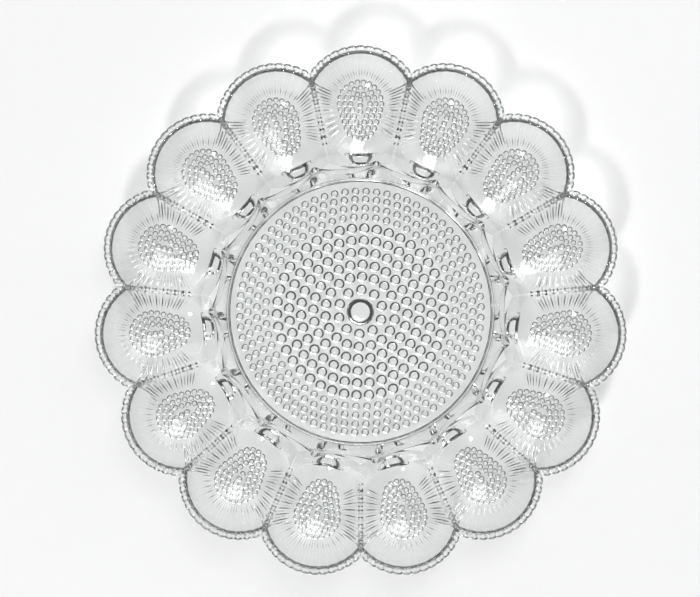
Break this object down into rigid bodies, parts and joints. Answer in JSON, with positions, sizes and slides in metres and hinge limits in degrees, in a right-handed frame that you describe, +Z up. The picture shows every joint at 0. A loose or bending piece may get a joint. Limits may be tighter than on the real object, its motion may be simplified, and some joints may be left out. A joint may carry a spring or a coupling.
{
  "type": "deviled egg platter",
  "caption": "Round pressed-glass platter with a ring of egg-shaped cups in a beaded, scalloped rim around a flat hobnailed centre, on small half-moon feet.",
  "frame": {"origin": "middle of the button's flat foot, on the table and on the platter's axis", "axes": "+Z up, out of the cups; +Y from the middle through the first egg cup; +X to the right of it, seen from above"},
  "size_m": [0.2788, 0.2776, 0.027],
  "materials": {
    "clear_glass": "clear, colourless, fire-polished pressed glass"
  },
  "bodies": {
    "root": {"centre_plate": "clear_glass", "centre_button": "clear_glass", "centre_hobnails_large": "clear_glass", "centre_hobnails_small": "clear_glass", "centre_wall": "clear_glass", "egg_cup_01": "clear_glass", "egg_cup_02": "clear_glass", "egg_cup_03": "clear_glass", "egg_cup_04": "clear_glass", "egg_cup_05": "clear_glass", "egg_cup_06": "clear_glass", "egg_cup_07": "clear_glass", "egg_cup_08": "clear_glass", "egg_cup_09": "clear_glass", "egg_cup_10": "clear_glass", "egg_cup_11": "clear_glass", "egg_cup_12": "clear_glass", "egg_cup_13": "clear_glass", "egg_cup_14": "clear_glass", "egg_cup_15": "clear_glass", "cup_hobnails_01": "clear_glass", "cup_hobnails_02": "clear_glass", "cup_hobnails_03": "clear_glass", "cup_hobnails_04": "clear_glass", "cup_hobnails_05": "clear_glass", "cup_hobnails_06": "clear_glass", "cup_hobnails_07": "clear_glass", "cup_hobnails_08": "clear_glass", "cup_hobnails_09": "clear_glass", "cup_hobnails_10": "clear_glass", "cup_hobnails_11": "clear_glass", "cup_hobnails_12": "clear_glass", "cup_hobnails_13": "clear_glass", "cup_hobnails_14": "clear_glass", "cup_hobnails_15": "clear_glass", "foot_01": "clear_glass", "foot_02": "clear_glass", "foot_03": "clear_glass", "foot_04": "clear_glass", "foot_05": "clear_glass", "foot_06": "clear_glass", "foot_07": "clear_glass", "foot_08": "clear_glass", "foot_09": "clear_glass", "foot_10": "clear_glass", "foot_11": "clear_glass", "foot_12": "clear_glass", "foot_13": "clear_glass", "foot_14": "clear_glass", "foot_15": "clear_glass"}
  },
  "joints": []
}
